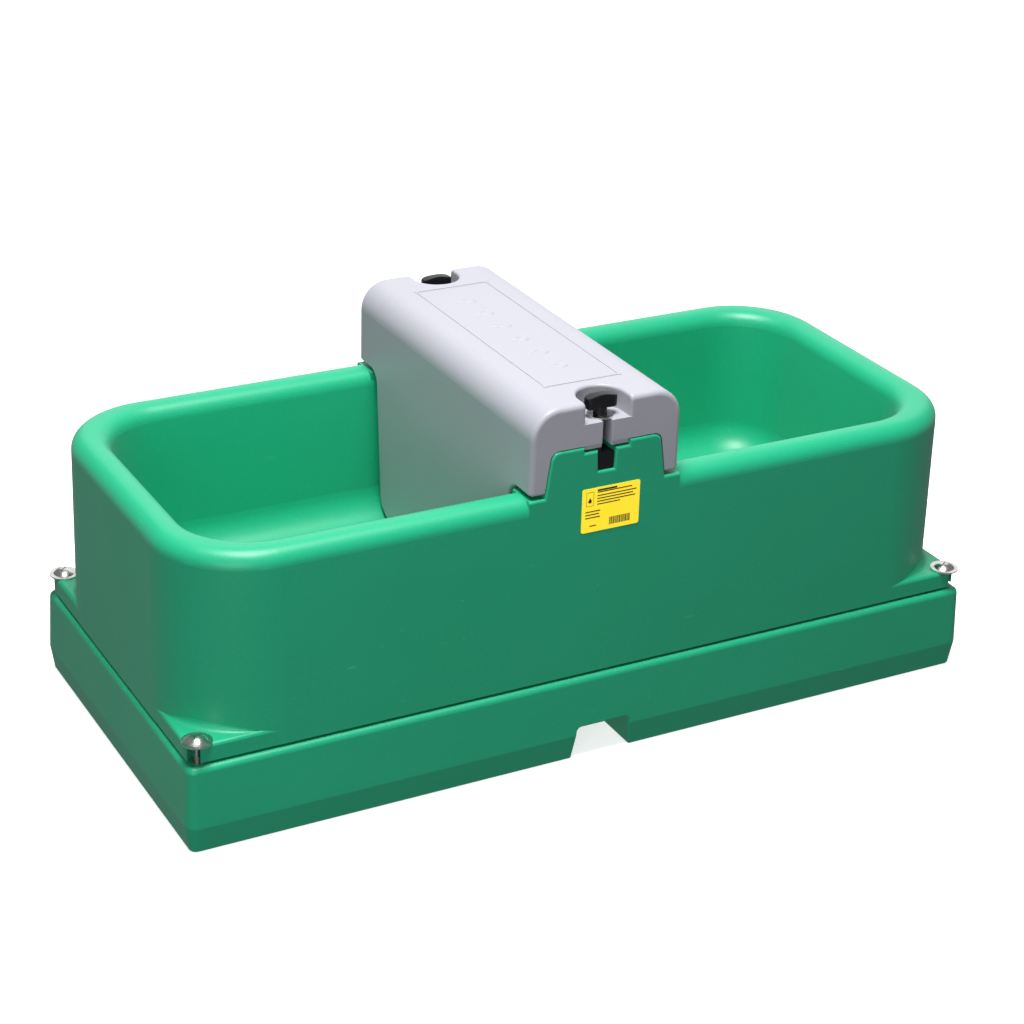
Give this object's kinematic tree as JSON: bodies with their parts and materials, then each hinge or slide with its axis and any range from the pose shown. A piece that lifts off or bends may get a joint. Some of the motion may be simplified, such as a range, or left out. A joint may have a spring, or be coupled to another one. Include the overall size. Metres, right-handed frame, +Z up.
{
  "type": "insulated livestock water trough",
  "caption": "Insulated cattle water trough with open bowls either side of a lift-off cover over a float valve, screwed to a base tray.",
  "frame": {"origin": "centre of the base tray's underside, on the floor", "axes": "+X along the trough, +Y across it to the far side, +Z up"},
  "size_m": [1.19, 0.548, 0.515],
  "materials": {
    "green_polyethylene": "satin rotomoulded polyethylene",
    "grey_polyethylene": "satin rotomoulded polyethylene",
    "black_nylon": "satin moulded nylon",
    "stainless_steel": "bright stainless steel",
    "brass": "machined brass",
    "white_acetal": "smooth acetal",
    "rubber": "matt rubber",
    "insulation": "rigid foam",
    "yellow_label": "printed film",
    "blue_float_plastic": "blow-moulded plastic",
    "grey_stopper": "moulded plastic"
  },
  "bodies": {
    "trough": {"base_tray": "green_polyethylene", "corner_inserts": "brass", "corner_washers": "stainless_steel", "corner_screws": "stainless_steel", "trough_shell": "green_polyethylene", "insulation_foam": "insulation", "foam_port_plug": "black_nylon", "rating_label": "yellow_label", "inlet_gasket": "rubber", "inlet_bulkhead": "brass", "inlet_locknut": "brass", "riser_pipe": "white_acetal", "drain_seat": "black_nylon", "drain_gasket": "rubber", "drain_locknut": "black_nylon", "valve_body": "brass", "valve_seat": "white_acetal", "arm_pin": "stainless_steel", "arm_pin_clip": "stainless_steel", "near_clamp_anchor": "black_nylon", "far_clamp_anchor": "black_nylon"},
    "cover": {"cover": "grey_polyethylene", "near_knob_washer": "stainless_steel", "far_knob_washer": "stainless_steel"},
    "near_clamp": {"near_knob": "black_nylon", "near_clamp_stud": "stainless_steel"},
    "far_clamp": {"far_knob": "black_nylon", "far_clamp_stud": "stainless_steel"},
    "float_lever": {"float_arm": "brass", "float": "blue_float_plastic", "float_wing_nut": "brass"},
    "plunger": {"valve_plunger": "white_acetal", "plunger_seal": "rubber"},
    "drain_stopper": {"drain_plug": "grey_stopper", "plug_seal": "rubber"}
  },
  "joints": [
    {"name": "cover_lift", "type": "slide", "parent": "trough", "child": "cover", "axis": [0, 0, 1], "range_m": [0, 0.34]},
    {"name": "near_knob_turn", "type": "hinge", "parent": "cover", "child": "near_clamp", "pos_m": [-0.007, -0.23592, 0.487], "axis": [0, 0, 1], "range_deg": [0, 1440]},
    {"name": "far_knob_turn", "type": "hinge", "parent": "cover", "child": "far_clamp", "pos_m": [-0.007, 0.23592, 0.487], "axis": [0, 0, 1], "range_deg": [0, 1440]},
    {"name": "float_arm_swing", "type": "hinge", "parent": "trough", "child": "float_lever", "pos_m": [0, 0.054, 0.39], "axis": [-1, 0, 0], "range_deg": [0, 20]},
    {"name": "plunger_slide", "type": "slide", "parent": "trough", "child": "plunger", "axis": [0, 1, 0], "range_m": [0, 0.0078]},
    {"name": "drain_plug_lift", "type": "slide", "parent": "trough", "child": "drain_stopper", "axis": [0, 0, 1], "range_m": [0, 0.25]}
  ],
  "couplings": [
    {"joint": "plunger_slide", "follows": "float_arm_swing", "m_per_rad": 0.022}
  ]
}
